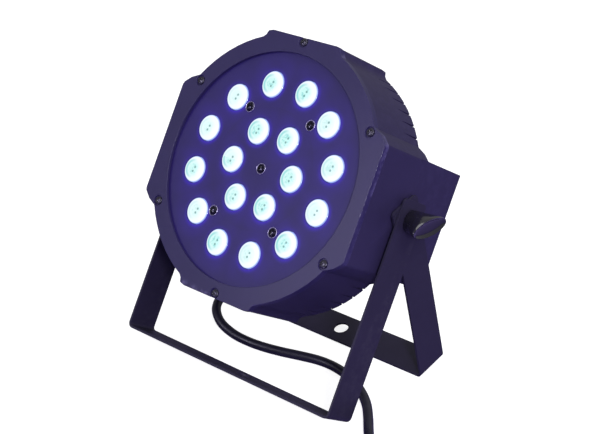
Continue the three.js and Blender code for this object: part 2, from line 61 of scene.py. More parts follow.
MM = 0.001
JOINTS = {joint["name"]: joint for joint in frame["joints"]}
PIVOT = Vector(JOINTS["head_tilt"]["pos_m"])
HEAD_TILT = math.radians(-30)
HEAD = Matrix.Translation(PIVOT) @ Matrix.Rotation(HEAD_TILT, 4, "X")
QUARTER = math.radians(90)

# Head-local places in millimetres: across and up from the tilt axis, depth back from the face
PIVOT_DEPTH = 57
LIP_DEPTH = 3
PANEL_NEAR = 3.3
PANEL_FAR = 5.6
PANEL_RADIUS = 101
BOARD_DEPTH = 18
COVER_FACE = 112.6
LENS_HOLE = 11.35
SCREW_HOLE = 1.9
BEZEL_SCREW_CIRCLE = 106.4
SCREW_SEAT_DEPTH = 1.1
PANEL_SCREWS = [(33, 44.7), (-33, 44.7), (-33, -44.7), (33, -44.7), (0, 0)]
COVER_SCREWS = [(103, 42.4), (-103, 42.4), (-103, -42.4), (103, -42.4)]
GLAND = (-75, -30)
KNOB_INNER = 116
WING_ANGLE = math.radians(-63)

# The lead from the gland down to the floor and along it: across, back and up
# from the floor under the tilt axis, in millimetres
CORD_ROUTE = [
    (-75, 54.2, 86), (-75, 62, 81.5), (-75.2, 69.7, 75), (-75.6, 74.8, 66.2), (-76.2, 76.5, 56),
    (-77, 74.8, 45.6), (-78, 69.7, 36.4), (-79.2, 62, 29.6), (-80.6, 51.5, 26), (-82.6, 36, 25),
    (-84.6, 18.4, 25), (-85.6, 1, 24.6), (-84, -14, 22.4), (-78.5, -25, 17.8), (-67, -31.6, 11.6),
    (-50.5, -33.2, 6.6), (-32.6, -32.2, 4.6), (-15.6, -29.8, 4.2), (1.4, -25.6, 4.2), (18.4, -20, 4.2),
    (34.4, -15.6, 4.2), (49.4, -14.8, 4.2), (65.4, -17.6, 4.2), (81.4, -23.8, 4.2), (96.4, -32.4, 4.2),
    (110.9, -43.6, 4.2), (124.8, -58, 4.2), (138.2, -73.4, 4.2), (153.4, -89.7, 4.2), (169.9, -107.6, 4.2),
    (183.4, -122.3, 4.2), (191.5, -131.1, 4.2),
]
COIL_CENTRE = (157.6, -162.3)
COIL_RADIUS = 42
COIL_ENTRY = math.radians(42.6)
# How the coil is laid, turn by turn: (turns so far, distance from the coil's middle, height)
COIL_LAY = [
    (0, 46.1, 4.2), (0.5, 46.1, 4.2), (0.96, 37.9, 4.2), (1.46, 37.9, 4.2), (1.78, 37.9, 12.5),
    (2.3, 37.9, 12.5), (2.7, 46.1, 12.5), (3.18, 46.1, 12.5), (3.35, 46.1, 18.3),
]
PLUG_ANGLE = COIL_ENTRY - 2 * math.pi * COIL_LAY[-1][0]
TIE_ANGLE = COIL_ENTRY - math.radians(68)
FLOOR_UNDER_AXIS = Vector((0, PIVOT.y, 0))
ROUTE_STEPS = 5
COIL_STEPS = 56

# Soft disc lights: name, place, size, power and tint
LIGHTS = [
    ("key", (1.5, -0.5, 1.7), 1.1, 16, (1, 1, 1)),
    ("fill", (-0.95, -1.75, 1.0), 0.9, 7, (0.78, 0.74, 1.0)),
    ("top", (0.2, 0.6, 2.4), 1.8, 14, (1, 1, 1)),
    ("edge", (1.25, -1.00, 0.78), 0.22, 15, (0.88, 0.84, 1.0)),
]
LIGHTS_AIM = Vector((0, 0, 0.14))
FLOOR_SIZE = 12


def colour(name, description, default):
    return bpy.props.FloatVectorProperty(
        name=name, description=description, default=default, subtype="COLOR", size=3, min=0, max=1
    )


def length(name, description, default):
    return bpy.props.FloatProperty(
        name=name, description=description, default=default, unit="LENGTH", min=0, precision=5
    )


class ParCanSizes(bpy.types.PropertyGroup):
    lens_radius: length("Lens Radius", "Radius of each moulded lens", 0.011)
    outer_ring: length("Outer Ring", "Radius of the circle of twelve lenses", 0.070)
    inner_ring: length("Inner Ring", "Radius of the circle of six lenses", 0.0324)
    ring_split: length("Ring Split", "Radius between the two circles of lenses", 0.051)
    moulding_round: length("Moulding Edge", "Rounding of the moulded edges", 0.0007)
    bezel_round: length("Bezel Edge", "Rounding of the bezel's edges", 0.0010)
    strip_round: length("Strip Edge", "Rounding of the bracket strip's edges", 0.0003)
    cord_diameter: length("Lead Diameter", "Outer diameter of the mains lead", 0.0082)
    cord_length: length("Lead Length", "Length of the mains lead, gland to plug", 1.35)


class ParCanColours(bpy.types.PropertyGroup):
    housing: colour("Housing", "Moulded body and rear cover", (0.026, 0.020, 0.066))
    bezel: colour("Bezel", "Moulded front ring", (0.024, 0.018, 0.080))
    panel: colour("Panel", "Front panel between the lenses", (0.020, 0.014, 0.085))
    bracket: colour("Bracket", "Powder coat of the brackets", (0.022, 0.018, 0.044))
    knob: colour("Knob", "Wing knobs", (0.006, 0.005, 0.012))
    sheath: colour("Lead", "Sheath of the mains lead", (0.009, 0.008, 0.020))
    glow: colour("Glow", "Light that spills round each lens", (0.022, 0.004, 0.400))


class ParCanStage(bpy.types.PropertyGroup):
    camera_place: bpy.props.FloatVectorProperty(
        name="Camera", description="Where the camera stands", default=(0.7764, -0.8323, 0.6296),
        subtype="TRANSLATION", size=3,
    )
    azimuth: bpy.props.FloatProperty(
        name="Azimuth", description="Turn of the camera about the vertical",
        default=math.radians(42.7), subtype="ANGLE",
    )
    elevation: bpy.props.FloatProperty(
        name="Elevation", description="How far the camera looks down",
        default=math.radians(23.84), subtype="ANGLE",
    )
    roll: bpy.props.FloatProperty(
        name="Roll", description="Turn of the camera about its line of sight",
        default=math.radians(-0.27), subtype="ANGLE",
    )
    focal_length: bpy.props.FloatProperty(
        name="Focal Length", description="On a sensor 36 mm wide, in millimetres", default=91.8
    )


# Shader helpers


def new_group(name, inputs, outputs):
    """An empty node group with its named sockets, and its two end nodes."""
    group = bpy.data.node_groups.new(name, "ShaderNodeTree")
    for socket, kind, default in inputs:
        made = group.interface.new_socket(socket, in_out="INPUT", socket_type=kind)
        if default is not None:
            made.default_value = default
    for socket, kind in outputs:
        group.interface.new_socket(socket, in_out="OUTPUT", socket_type=kind)
    return group, group.nodes.new("NodeGroupInput"), group.nodes.new("NodeGroupOutput")


def math_node(tree, operation, *values, clamp=False):
    """A Math node; each value is a number or another node's output."""
    node = tree.nodes.new("ShaderNodeMath")
    node.operation = operation
    node.use_clamp = clamp
    feed(tree, node, values)
    return node.outputs[0]


def stretch(tree, vector, factors):
    """The coordinates, each multiplied by its own factor."""
    node = tree.nodes.new("ShaderNodeVectorMath")
    node.operation = "MULTIPLY"
    feed(tree, node, (vector, factors))
    return node.outputs["Vector"]


def feed(tree, node, values):
    """Links each value to its socket, or sets it there when it is a plain number."""
    for socket, value in zip(node.inputs, values):
        if isinstance(value, bpy.types.NodeSocket):
            tree.links.new(value, socket)
        else:
            socket.default_value = value


def noise(tree, vector, scale, detail=2.0, roughness=0.5):
    """Soft noise from 0 to 1; the scale is a number or another node's output."""
    node = tree.nodes.new("ShaderNodeTexNoise")
    node.inputs["Detail"].default_value = detail
    node.inputs["Roughness"].default_value = roughness
    tree.links.new(vector, node.inputs["Vector"])
    if isinstance(scale, bpy.types.NodeSocket):
        tree.links.new(scale, node.inputs["Scale"])
    else:
        node.inputs["Scale"].default_value = scale
    return node.outputs["Fac"]


def span(tree, value, low, high, out_low=0.0, out_high=1.0):
    """Maps low..high to out_low..out_high with soft ends."""
    node = tree.nodes.new("ShaderNodeMapRange")
    node.interpolation_type = "SMOOTHSTEP"
    tree.links.new(value, node.inputs["Value"])
    for socket, number in zip(node.inputs[1:5], (low, high, out_low, out_high)):
        if isinstance(number, bpy.types.NodeSocket):
            tree.links.new(number, socket)
        else:
            socket.default_value = number
    return node.outputs[0]


def mix_colour(tree, factor, a, b):
    """From colour a to colour b as the factor goes from 0 to 1."""
    node = tree.nodes.new("ShaderNodeMix")
    node.data_type = "RGBA"
    for socket, value in ((node.inputs[0], factor), (node.inputs[6], a), (node.inputs[7], b)):
        if isinstance(value, bpy.types.NodeSocket):
            tree.links.new(value, socket)
        elif isinstance(value, (int, float)):
            socket.default_value = value
        else:
            socket.default_value = (*value, 1.0)
    return node.outputs[2]


def grain_group():
    """Fine texture of a moulded or coated face, and the slow drift of its sheen."""
    inputs = [
        ("Vector", "NodeSocketVector", None),
        ("Grain Scale", "NodeSocketFloat", 1400.0),
        ("Blotch Scale", "NodeSocketFloat", 28.0),
        ("Roughness", "NodeSocketFloat", 0.5),
        ("Spread", "NodeSocketFloat", 0.03),
    ]
    outputs = [("Height", "NodeSocketFloat"), ("Roughness", "NodeSocketFloat"), ("Blotch", "NodeSocketFloat")]
    group, ins, outs = new_group("moulded_grain", inputs, outputs)
    fine = noise(group, ins.outputs["Vector"], ins.outputs["Grain Scale"], 3, 0.6)
    broad = noise(group, ins.outputs["Vector"], ins.outputs["Blotch Scale"], 3, 0.55)
    centred = math_node(group, "SUBTRACT", broad, 0.5)
    drift = math_node(group, "MULTIPLY", centred, ins.outputs["Spread"])
    rough = math_node(group, "MULTIPLY_ADD", drift, 2.0, ins.outputs["Roughness"], clamp=True)
    group.links.new(fine, outs.inputs["Height"])
    group.links.new(rough, outs.inputs["Roughness"])
    group.links.new(broad, outs.inputs["Blotch"])
    return group


def wear_group():
    """Mask of rubbed edges: sharp outer corners, broken up by noise."""
    inputs = [
        ("Vector", "NodeSocketVector", None),
        ("Amount", "NodeSocketFloat", 0.5),
        ("Scale", "NodeSocketFloat", 160.0),
    ]
    group, ins, outs = new_group("edge_wear", inputs, [("Mask", "NodeSocketFloat")])
    geometry = group.nodes.new("ShaderNodeNewGeometry")
    corners = span(group, geometry.outputs["Pointiness"], 0.52, 0.62)
    breaks = span(group, noise(group, ins.outputs["Vector"], ins.outputs["Scale"], 4, 0.65), 0.42, 0.66)
    both = math_node(group, "MULTIPLY", corners, breaks)
    mask = math_node(group, "MULTIPLY", both, ins.outputs["Amount"], clamp=True)
    group.links.new(mask, outs.inputs["Mask"])
    return group


def dust_group():
    """Mask of dust that settles on the faces that look up."""
    inputs = [("Vector", "NodeSocketVector", None), ("Amount", "NodeSocketFloat", 0.3)]
    group, ins, outs = new_group("settled_dust", inputs, [("Mask", "NodeSocketFloat")])
    place = group.nodes.new("ShaderNodeTexCoord")
    apart = group.nodes.new("ShaderNodeSeparateXYZ")
    group.links.new(place.outputs["Normal"], apart.inputs[0])
    upward = span(group, apart.outputs["Z"], 0.25, 0.95)
    drift = span(group, noise(group, ins.outputs["Vector"], 55.0, 4, 0.6), 0.35, 0.75)
    specks = span(group, noise(group, ins.outputs["Vector"], 900.0, 2, 0.5), 0.55, 0.8)
    both = math_node(group, "MULTIPLY_ADD", specks, 0.6, drift)
    lying = math_node(group, "MULTIPLY", both, upward)
    mask = math_node(group, "MULTIPLY", lying, ins.outputs["Amount"], clamp=True)
    group.links.new(mask, outs.inputs["Mask"])
    return group


def scratch_group():
    """Thin, long, faint scratches that run one way."""
    inputs = [
        ("Vector", "NodeSocketVector", None),
        ("Stretch", "NodeSocketVector", (40.0, 900.0, 40.0)),
        ("Amount", "NodeSocketFloat", 0.3),
    ]
    group, ins, outs = new_group("fine_scratches", inputs, [("Mask", "NodeSocketFloat")])
    stretched = stretch(group, ins.outputs["Vector"], ins.outputs["Stretch"])
    lines = span(group, noise(group, stretched, 1.0, 2, 0.5), 0.62, 0.70)
    patches = span(group, noise(group, ins.outputs["Vector"], 35.0, 1, 0.5), 0.5, 0.65)
    both = math_node(group, "MULTIPLY", lines, patches)
    group.links.new(math_node(group, "MULTIPLY", both, ins.outputs["Amount"]), outs.inputs["Mask"])
    return group


def lens_place_group(sizes):
    """Where a point of the face lies from the middle of its nearest lens, in the two circles of lenses."""
    inputs = [("Vector", "NodeSocketVector", None)]
    outputs = [
        ("Across", "NodeSocketFloat"), ("Up", "NodeSocketFloat"),
        ("Distance", "NodeSocketFloat"), ("Lens", "NodeSocketVector"),
    ]
    group, ins, outs = new_group("nearest_lens", inputs, outputs)
    apart = group.nodes.new("ShaderNodeSeparateXYZ")
    group.links.new(ins.outputs["Vector"], apart.inputs[0])
    across, up = apart.outputs["X"], apart.outputs["Z"]
    squares = math_node(group, "MULTIPLY_ADD", up, up, math_node(group, "MULTIPLY", across, across))
    radius = math_node(group, "SQRT", squares)
    inner = math_node(group, "LESS_THAN", radius, sizes.ring_split)
    ring = math_node(group, "MULTIPLY_ADD", inner, sizes.inner_ring - sizes.outer_ring, sizes.outer_ring)
    step = math_node(group, "MULTIPLY_ADD", inner, math.radians(30), math.radians(30))
    first = math_node(group, "MULTIPLY_ADD", inner, math.radians(-15), math.radians(15))
    angle = math_node(group, "ARCTAN2", up, across)
    steps = math_node(group, "DIVIDE", math_node(group, "SUBTRACT", angle, first), step)
    nearest = math_node(group, "MULTIPLY_ADD", math_node(group, "ROUND", steps), step, first)
    middle_x = math_node(group, "MULTIPLY", math_node(group, "COSINE", nearest), ring)
    middle_z = math_node(group, "MULTIPLY", math_node(group, "SINE", nearest), ring)
    dx = math_node(group, "SUBTRACT", across, middle_x)
    dz = math_node(group, "SUBTRACT", up, middle_z)
    away = math_node(group, "MULTIPLY_ADD", dz, dz, math_node(group, "MULTIPLY", dx, dx))
    middle = group.nodes.new("ShaderNodeCombineXYZ")
    group.links.new(middle_x, middle.inputs["X"])
    group.links.new(middle_z, middle.inputs["Z"])
    group.links.new(dx, outs.inputs["Across"])
    group.links.new(dz, outs.inputs["Up"])
    group.links.new(math_node(group, "SQRT", away), outs.inputs["Distance"])
    group.links.new(middle.outputs[0], outs.inputs["Lens"])
    return group


class Finish:
    """A material under way: its tree, its shader and the coordinates that its patterns read."""

    def __init__(self, name, head_local=False, **settings):
        self.material = bpy.data.materials.new(name)
        self.material.use_nodes = True
        self.tree = self.material.node_tree
        self.shader = self.tree.nodes["Principled BSDF"]
        for socket, value in settings.items():
            self.shader.inputs[socket.replace("_", " ")].default_value = value
        self.vector = self.tree.nodes.new("ShaderNodeTexCoord").outputs["Object"]
        if head_local:
            mapping = self.tree.nodes.new("ShaderNodeMapping")
            mapping.vector_type = "TEXTURE"
            mapping.inputs["Location"].default_value = PIVOT
            mapping.inputs["Rotation"].default_value = (HEAD_TILT, 0, 0)
            self.tree.links.new(self.vector, mapping.inputs["Vector"])
            self.vector = mapping.outputs[0]

    def group(self, effect, **values):
        """Places a shared effect in this material with its own values."""
        node = self.tree.nodes.new("ShaderNodeGroup")
        node.node_tree = effect
        self.tree.links.new(self.vector, node.inputs["Vector"])
        for socket, value in values.items():
            node.inputs[socket.replace("_", " ")].default_value = value
        return node.outputs

    def drive(self, socket, value):
        self.tree.links.new(value, self.shader.inputs[socket])

    def bump(self, height, distance, strength=1.0):
        node = self.tree.nodes.new("ShaderNodeBump")
        node.inputs["Strength"].default_value = strength
        node.inputs["Distance"].default_value = distance
        self.tree.links.new(height, node.inputs["Height"])
        self.drive("Normal", node.outputs[0])


def lighter(tint, factor, lift=0.0):
    """The tint scaled and lifted, no channel above 1."""
    return tuple(min(1.0, c * factor + lift) for c in tint)


def coated(
    name, tint, grain, roughness, groups, wear=0.5, dust=0.10, depth=0.00002, worn=None, coat=0.0,
):
    """A moulded or powder-coated finish with grain, blotches, rubbed edges and dust."""
    finish = Finish(name, Specular_IOR_Level=0.32, Coat_Weight=coat, Coat_Roughness=0.16)
    tree = finish.tree
    texture = finish.group(groups["grain"], Grain_Scale=grain, Roughness=roughness)
    edges = finish.group(groups["wear"], Amount=wear)["Mask"]
    lying = finish.group(groups["dust"], Amount=dust)["Mask"]
    base = mix_colour(tree, texture["Blotch"], lighter(tint, 0.86), lighter(tint, 1.16))
    rubbed = mix_colour(tree, edges, base, worn or lighter(tint, 2.4, 0.02))
    dusty = mix_colour(tree, lying, rubbed, lighter(tint, 1.6, 0.035))
    finish.drive("Base Color", dusty)
    rough = math_node(tree, "MULTIPLY_ADD", lying, 0.3, texture["Roughness"], clamp=True)
    finish.drive("Roughness", rough)
    finish.bump(texture["Height"], depth)
    return finish.material


def panel_finish(colours, sizes, groups):
    """The front panel, washed violet by its lamps, with a blue glow that leans to one side of each lens."""
    finish = Finish("panel_moulding", head_local=True, Specular_IOR_Level=0.35, Emission_Strength=1.0)
    tree = finish.tree
    texture = finish.group(groups["grain"], Grain_Scale=1700.0, Blotch_Scale=22.0, Roughness=0.40)
    lens = finish.group(groups["lens"])
    specks = finish.group(groups["dust"], Amount=0.15)["Mask"]
    tint = tuple(colours.panel)
    base = mix_colour(tree, texture["Blotch"], lighter(tint, 0.85), lighter(tint, 1.15))
    finish.drive("Base Color", mix_colour(tree, specks, base, lighter(tint, 1.6, 0.03)))
    finish.drive("Roughness", texture["Roughness"])
    away = lens["Distance"]
    lean = math_node(tree, "DIVIDE", math_node(tree, "SUBTRACT", lens["Across"], lens["Up"]), away)
    lean = span(tree, lean, -1.0, 1.3, 0.25, 1.0)
    drift = span(tree, noise(tree, finish.vector, 38.0, 1), 0.35, 0.65, 0.35, 1.0)
    near = span(tree, away, sizes.lens_radius, sizes.lens_radius + 0.0062, 1.0, 0.0)
    close = math_node(tree, "MULTIPLY", math_node(tree, "MULTIPLY", near, near), lean)
    wide = span(tree, away, sizes.lens_radius, sizes.lens_radius + 0.020, 1.0, 0.0)
    wide = math_node(tree, "MULTIPLY", wide, drift)
    wash = mix_colour(tree, wide, (0.003, 0.001, 0.024), (0.009, 0.002, 0.095))
    glowing = mix_colour(tree, close, wash, tuple(colours.glow))
    seam = span(tree, away, sizes.lens_radius + 0.0003, sizes.lens_radius + 0.0011, 1.0, 0.0)
    finish.drive("Emission Color", mix_colour(tree, seam, glowing, (0.004, 0.001, 0.05)))
    finish.bump(texture["Height"], 0.00002)
    return finish.material


def away_from(tree, lens, across, up):
    """How far a point of a lens lies from a place on it."""
    dx = math_node(tree, "SUBTRACT", lens["Across"], across)
    dz = math_node(tree, "SUBTRACT", lens["Up"], up)
    squares = math_node(tree, "MULTIPLY_ADD", dz, dz, math_node(tree, "MULTIPLY", dx, dx))
    return math_node(tree, "SQRT", squares)


def lens_finish(sizes, groups):
    """A lit lens: white light, a cyan crescent and haze inside it, and the two dark points of its diode."""
    finish = Finish(
        "lit_lens", head_local=True, Roughness=0.12, Specular_IOR_Level=0.35, Emission_Strength=1.0,
    )
    tree = finish.tree
    lens = finish.group(groups["lens"])
    own = tree.nodes.new("ShaderNodeTexWhiteNoise")
    own.noise_dimensions = "3D"
    tree.links.new(lens["Lens"], own.inputs["Vector"])
    chance = own.outputs["Value"]
    inner = away_from(tree, lens, -0.0012, 0.0)
    left = span(tree, lens["Across"], -0.0075, 0.0015, 1.0, 0.0)
    haze = span(tree, inner, 0.0035, 0.0085, 0.75, 0.0)
    haze = math_node(tree, "MULTIPLY", haze, span(tree, chance, 0.1, 0.9, 0.45, 1.0))
    light = mix_colour(tree, haze, (0.90, 0.97, 1.0), (0.50, 0.93, 0.86))
    offset = math_node(tree, "ABSOLUTE", math_node(tree, "SUBTRACT", inner, 0.0072))
    crescent = math_node(tree, "MULTIPLY", span(tree, offset, 0.0, 0.0021, 0.85, 0.0), left)
    crescent = math_node(tree, "MULTIPLY", crescent, span(tree, chance, 0.15, 0.8, 0.35, 1.0))
    light = mix_colour(tree, crescent, light, (0.16, 0.66, 0.62))
    wobble = span(tree, noise(tree, finish.vector, 520.0, 2, 0.5), 0.50, 0.62)
    middle = span(tree, inner, 0.0030, 0.0068, 1.0, 0.0)
    facets = math_node(tree, "MULTIPLY", wobble, math_node(tree, "MULTIPLY", middle, chance))
    light = mix_colour(tree, math_node(tree, "MULTIPLY", facets, 0.55), light, (0.14, 0.55, 0.56))
    for across, up in ((0.0007, 0.0016), (-0.0004, -0.0020)):
        dot = span(tree, away_from(tree, lens, across, up), 0.0003, 0.0015, 0.80, 0.0)
        light = mix_colour(tree, dot, light, (0.05, 0.20, 0.19))
    edge = span(tree, lens["Distance"], sizes.lens_radius - 0.0010, sizes.lens_radius - 0.0001)
    finish.drive("Emission Color", mix_colour(tree, edge, light, (0.25, 0.34, 0.85)))
    finish.drive("Base Color", mix_colour(tree, middle, (0.05, 0.06, 0.07), (0.02, 0.05, 0.05)))
    return finish.material


def steel_finish(name, tint, roughness, groups):
    """Bare or plated metal with slow blotches and brighter rubbed edges."""
    finish = Finish(name, Metallic=1.0)
    tree = finish.tree
    texture = finish.group(groups["grain"], Grain_Scale=2500.0, Blotch_Scale=260.0, Roughness=roughness)
    edges = finish.group(groups["wear"], Amount=0.9, Scale=500.0)["Mask"]
    base = mix_colour(tree, texture["Blotch"], lighter(tint, 0.75), lighter(tint, 1.25))
    finish.drive("Base Color", mix_colour(tree, edges, base, (0.6, 0.6, 0.62)))
    finish.drive("Roughness", texture["Roughness"])
    finish.bump(texture["Height"], 0.00001)
    return finish.material


def gloss_finish(name, tint, groups, roughness=0.16):
    """Glossy moulding with a soft orange-peel skin and faint handling scratches."""
    finish = Finish(name, Coat_Weight=1.0, Coat_Roughness=0.06)
    tree = finish.tree
    texture = finish.group(
        groups["grain"], Grain_Scale=420.0, Blotch_Scale=60.0, Roughness=roughness, Spread=0.05
    )
    edges = finish.group(groups["wear"], Amount=0.35, Scale=300.0)["Mask"]
    marks = finish.group(groups["scratch"], Amount=0.35)["Mask"]
    base = mix_colour(tree, texture["Blotch"], lighter(tint, 0.8), lighter(tint, 1.2))
    finish.drive("Base Color", mix_colour(tree, edges, base, lighter(tint, 3.0, 0.02)))
    finish.drive("Roughness", math_node(tree, "ADD", texture["Roughness"], marks, clamp=True))
    finish.bump(texture["Height"], 0.000012)
    return finish.material


def sheath_finish(tint, groups):
    """Extruded rubber sheath: fine lengthwise drag, smears and dull patches."""
    finish = Finish("lead_sheath", Specular_IOR_Level=0.6)
    tree = finish.tree
    texture = finish.group(groups["grain"], Grain_Scale=900.0, Blotch_Scale=90.0, Roughness=0.36, Spread=0.22)
    lying = finish.group(groups["dust"], Amount=0.18)["Mask"]
    base = mix_colour(tree, texture["Blotch"], lighter(tint, 0.75), lighter(tint, 1.3))
    finish.drive("Base Color", mix_colour(tree, lying, base, lighter(tint, 2.0, 0.03)))
    finish.drive("Roughness", texture["Roughness"])
    finish.bump(texture["Height"], 0.00003)
    return finish.material


def board_finish(groups):
    """Green solder mask with faint copper tracks under it."""
    finish = Finish("circuit_board", head_local=True, Coat_Weight=0.4, Coat_Roughness=0.15)
    tree = finish.tree
    texture = finish.group(groups["grain"], Grain_Scale=800.0, Roughness=0.38)
    bricks = tree.nodes.new("ShaderNodeTexBrick")
    bricks.inputs["Scale"].default_value = 90.0
    bricks.inputs["Mortar Size"].default_value = 0.06
    turned_flat = tree.nodes.new("ShaderNodeMapping")
    turned_flat.inputs["Rotation"].default_value = (QUARTER, 0, 0)
    tree.links.new(finish.vector, turned_flat.inputs["Vector"])
    tree.links.new(turned_flat.outputs[0], bricks.inputs["Vector"])
    base = mix_colour(tree, texture["Blotch"], (0.008, 0.060, 0.022), (0.014, 0.095, 0.036))
    finish.drive("Base Color", mix_colour(tree, bricks.outputs["Fac"], base, (0.03, 0.16, 0.06)))
    finish.drive("Roughness", texture["Roughness"])
    return finish.material


def make_finishes():
    """Every material of the lamp by its short name."""
    sizes = bpy.context.scene.par_can_sizes
    colours = bpy.context.scene.par_can_colours
    groups = {
        "grain": grain_group(), "wear": wear_group(), "dust": dust_group(),
        "scratch": scratch_group(), "lens": lens_place_group(sizes),
    }
    return {
        "housing": coated(
            "housing_moulding", tuple(colours.housing), 2400.0, 0.48, groups, wear=0.10, dust=0.04,
            depth=0.000010,
        ),
        "bezel": coated(
            "bezel_moulding", tuple(colours.bezel), 2600.0, 0.40, groups, worn=(0.15, 0.13, 0.30), coat=0.20,
        ),
        "bracket": coated(
            "bracket_powder_coat", tuple(colours.bracket), 2400.0, 0.50, groups, wear=0.15, dust=0.06,
            depth=0.000012, worn=(0.080, 0.075, 0.100),
        ),
        "plastic": coated("black_moulding", (0.010, 0.0095, 0.013), 1300.0, 0.42, groups),
        "panel": panel_finish(colours, sizes, groups),
        "lens": lens_finish(sizes, groups),
        "screw": steel_finish("black_zinc_screw", (0.10, 0.095, 0.13), 0.34, groups),
        # Painted shade colour for the panel screws and their cups, and a painted highlight colour for the
        # ring round them
        "painted_shade_screw": steel_finish("sunk_screw_painted_shade", (0.030, 0.027, 0.055), 0.22, groups),
        "ring": steel_finish("screw_ring_painted_highlight", (0.46, 0.42, 0.64), 0.34, groups),
        "pin": steel_finish("plated_pin", (0.62, 0.60, 0.56), 0.22, groups),
        "aluminium": steel_finish("sink_aluminium", (0.62, 0.63, 0.65), 0.38, groups),
        "knob": gloss_finish("knob_gloss", tuple(colours.knob), groups),
        "window": gloss_finish("display_window", (0.020, 0.002, 0.003), groups, roughness=0.08),
        "sheath": sheath_finish(tuple(colours.sheath), groups),
        "board": board_finish(groups),
    }


FINISHES = {}


def finish_of(name):
    """A finished material by its short name; all are made on first use."""
    if not FINISHES:
        FINISHES.update(make_finishes())
    return FINISHES[name]


# Mesh helpers


def activate(*pieces):
    """Selects these pieces and nothing else, the first one active."""
    if bpy.context.object and bpy.context.object.mode != "OBJECT":
        bpy.ops.object.mode_set(mode="OBJECT")
    bpy.ops.object.select_all(action="DESELECT")
    for piece in pieces:
        piece.select_set(True)
    bpy.context.view_layer.objects.active = pieces[0]


def edit(piece):
    """Opens a piece for editing with its whole mesh selected."""
    activate(piece)
    bpy.ops.object.mode_set(mode="EDIT")
    bpy.ops.mesh.select_all(action="SELECT")


def done():
    bpy.ops.object.mode_set(mode="OBJECT")


def smooth(piece, degrees):
    """Shades a piece smooth, apart from edges sharper than this."""
    activate(piece)
    bpy.ops.object.shade_smooth_by_angle(angle=math.radians(degrees))


def apply_place(piece):
    activate(piece)
    bpy.ops.object.transform_apply(location=True, rotation=True, scale=True)


def modify(piece, kind, **settings):
    """Adds a modifier with these settings and applies it."""
    activate(piece)
    modifier = piece.modifiers.new(kind.title(), kind)
    for name, value in settings.items():
        setattr(modifier, name, value)
    bpy.ops.object.modifier_apply(modifier=modifier.name)


def round_edges(piece, width, segments=2):
    """Rounds the sharp edges and shades the piece so that its flat faces stay flat."""
    modify(
        piece, "BEVEL", width=width, segments=segments, limit_method="ANGLE",
        angle_limit=math.radians(28), use_clamp_overlap=True, harden_normals=False,
    )
    smooth(piece, 32)
    modify(piece, "WEIGHTED_NORMAL", keep_sharp=True)


def outward(piece):
    """Merges doubled points and turns every face outwards."""
    edit(piece)
    bpy.ops.mesh.remove_doubles(threshold=0.000001)
    bpy.ops.mesh.normals_make_consistent(inside=False)
    done()


def lofted(sections, sides=64):
    """A closed piece about the Y axis through ovals in millimetres: (half across, half up, depth)."""
    across, up, depth = sections[0]
    bpy.ops.object.select_all(action="DESELECT")
    bpy.ops.mesh.primitive_circle_add(
        vertices=sides, radius=MM, fill_type="NGON", location=(0, depth * MM, 0), rotation=(QUARTER, 0, 0)
    )
    piece = bpy.context.object
    piece.scale = (across, up, 1)
    apply_place(piece)
    edit(piece)
    for next_across, next_up, next_depth in sections[1:]:
        bpy.ops.mesh.extrude_region_move(
            TRANSFORM_OT_translate={"value": (0, (next_depth - depth) * MM, 0)}
        )
        ratio = (next_across / across, 1, next_up / up)
        bpy.ops.transform.resize(value=ratio, center_override=(0, next_depth * MM, 0))
        across, up, depth = next_across, next_up, next_depth
    done()
    outward(piece)
    return piece


def turned(profile, sides=48):
    """A turned piece about the Y axis from (radius, depth) steps in millimetres, closed at both ends."""
    return lofted([(radius, radius, depth) for radius, depth in profile], sides)


def box(x, y, z, width, depth, height):
    """A block in millimetres about its middle."""
    bpy.ops.object.select_all(action="DESELECT")
    bpy.ops.mesh.primitive_cube_add(size=1, location=(x * MM, y * MM, z * MM))
    piece = bpy.context.object
    piece.scale = (width * MM, depth * MM, height * MM)
    apply_place(piece)
    return piece


def joined(*pieces):
    """Joins the pieces into the first one."""
    activate(*pieces)
    bpy.ops.object.join()
    return pieces[0]


def carve(piece, cutter):
    """Cuts the cutter's shape out of a piece; a cutter made of crossing parts would empty it."""
    modify(piece, "BOOLEAN", object=cutter, operation="DIFFERENCE", solver="EXACT")
    bpy.data.objects.remove(cutter)


def copied(piece, matrix=None):
    """A copy with its own mesh, moved by a matrix."""
    copy = piece.copy()
    copy.data = piece.data.copy()
    bpy.context.scene.collection.objects.link(copy)
    if matrix is not None:
        copy.data.transform(matrix)
    return copy


def welded(node):
    """A merged copy of a CAD node: its loose triangles joined and its flat faces made whole."""
    source = frame["nodes"][node]
    copy = source.copy()
    copy.data = source.data.copy()
    copy.parent = None
    for key in list(copy.keys()):
        del copy[key]
    bpy.context.scene.collection.objects.link(copy)
    copy.data.materials.clear()
    edit(copy)
    bpy.ops.mesh.customdata_custom_splitnormals_clear()
    bpy.ops.mesh.remove_doubles(threshold=0.00001)
    bpy.ops.mesh.dissolve_limited(angle_limit=math.radians(0.6))
    done()
    return copy


def settle(piece, name, finish, slot, body, *nodes):
    """Names a finished piece, gives it its material, and puts it on its body; the slot is not used."""
    piece.name = name
    piece.data.name = name
    if not piece.data.materials:
        piece.data.materials.append(finish_of(finish))
    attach(piece, body)
    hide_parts(*nodes)
    return piece


def finished_node(node, name, finish, slot, body, rounding, segments=2):
    """Rounds the edges of a merged copy of a CAD node and settles it in the node's stead."""
    piece = welded(node)
    round_edges(piece, rounding, segments)
    return settle(piece, name, finish, slot, body, node)


def head_place(x, z):
    """The place on the head of something built about the Y axis, x across and z up in millimetres."""
    return HEAD @ Matrix.Translation((x * MM, -PIVOT_DEPTH * MM, z * MM))


def ring_places(radius, count, first):
    """Evenly spaced places on a circle, the first at this many degrees."""
    places = []
    for i in range(count):
        angle = math.radians(first + 360 * i / count)
        places.append((radius * math.cos(angle), radius * math.sin(angle)))
    return places


